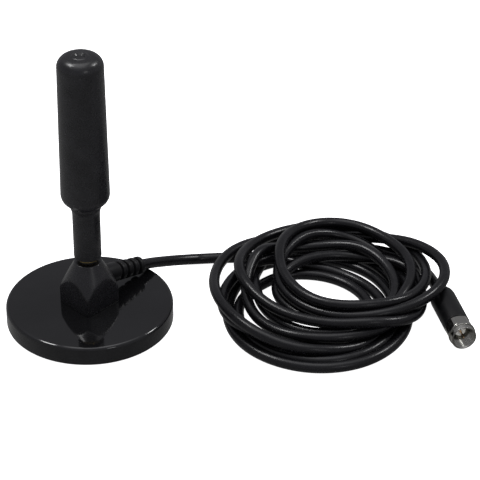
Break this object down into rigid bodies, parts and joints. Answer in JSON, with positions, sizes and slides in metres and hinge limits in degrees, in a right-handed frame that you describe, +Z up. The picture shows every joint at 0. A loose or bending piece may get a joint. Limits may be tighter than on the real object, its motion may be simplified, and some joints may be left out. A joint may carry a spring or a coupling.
{
  "type": "indoor television antenna",
  "caption": "Short sleeved mast screwed into a square coned hub on a round magnetic base, with a coiled coaxial lead ending in an F plug.",
  "frame": {"origin": "centre of the base's underside, on the mast's axis, where the pad meets the table", "axes": "+Z up along the mast; +X toward the side where the coiled lead lies; +Y toward the back; the hub's corners point along X and Y"},
  "size_m": [0.1953, 0.106, 0.125],
  "materials": {
    "gloss_cover": "glossy moulded black",
    "hub_plastic": "satin moulded black",
    "mast_plastic": "satin moulded black with a soft sheen",
    "soft_black": "matt flexible PVC, black",
    "cable_jacket": "semi-matt extruded PVC jacket, black",
    "pad_foam": "matt non-slip pad, black",
    "nickel": "bright nickel plating",
    "zinc_steel": "bright zinc plating",
    "brass": "turned brass",
    "copper": "bare copper",
    "ferrite": "pressed dark grey ferrite",
    "natural_plastic": "natural polyethylene, milky"
  },
  "bodies": {
    "base": {"base_pad": "pad_foam", "base_cover": "gloss_cover", "steel_plate": "zinc_steel", "magnet": "ferrite", "hub": "hub_plastic", "hub_screws": "zinc_steel", "threaded_insert": "brass", "solder_tag": "brass", "feed_wire": "copper", "crimp_ring": "nickel", "ground_strap": "copper", "strain_relief": "soft_black", "cable_lead": "cable_jacket", "cable_coil": "cable_jacket", "cable_tail": "cable_jacket", "plug_boot": "soft_black", "plug_body": "nickel", "plug_insulator": "natural_plastic", "plug_pin": "copper"},
    "mast_seat": {"seal_ring": "soft_black", "mast_washer": "brass"},
    "mast": {"mast_stud": "nickel", "mast_neck": "mast_plastic", "mast_sleeve": "mast_plastic", "lower_rod": "copper", "coil_former": "natural_plastic", "loading_coil": "copper", "upper_rod": "copper", "top_bush": "natural_plastic"},
    "nut": {"plug_nut": "nickel"}
  },
  "joints": [
    {"name": "mast_lift", "type": "slide", "parent": "base", "child": "mast_seat", "axis": [0, 0, 1], "range_m": [0, 0.0032]},
    {"name": "mast_turn", "type": "hinge", "parent": "mast_seat", "child": "mast", "pos_m": [0, 0, 0.03], "axis": [0, 0, 1], "range_deg": [0, 1440]},
    {"name": "nut_spin", "type": "hinge", "parent": "base", "child": "nut", "pos_m": [0.1552, -0.0234, 0.0057], "axis": [0.225, -0.9744, 0], "continuous": true}
  ],
  "couplings": [
    {"joint": "mast_turn", "follows": "mast_lift", "rad_per_m": 7853.9}
  ]
}
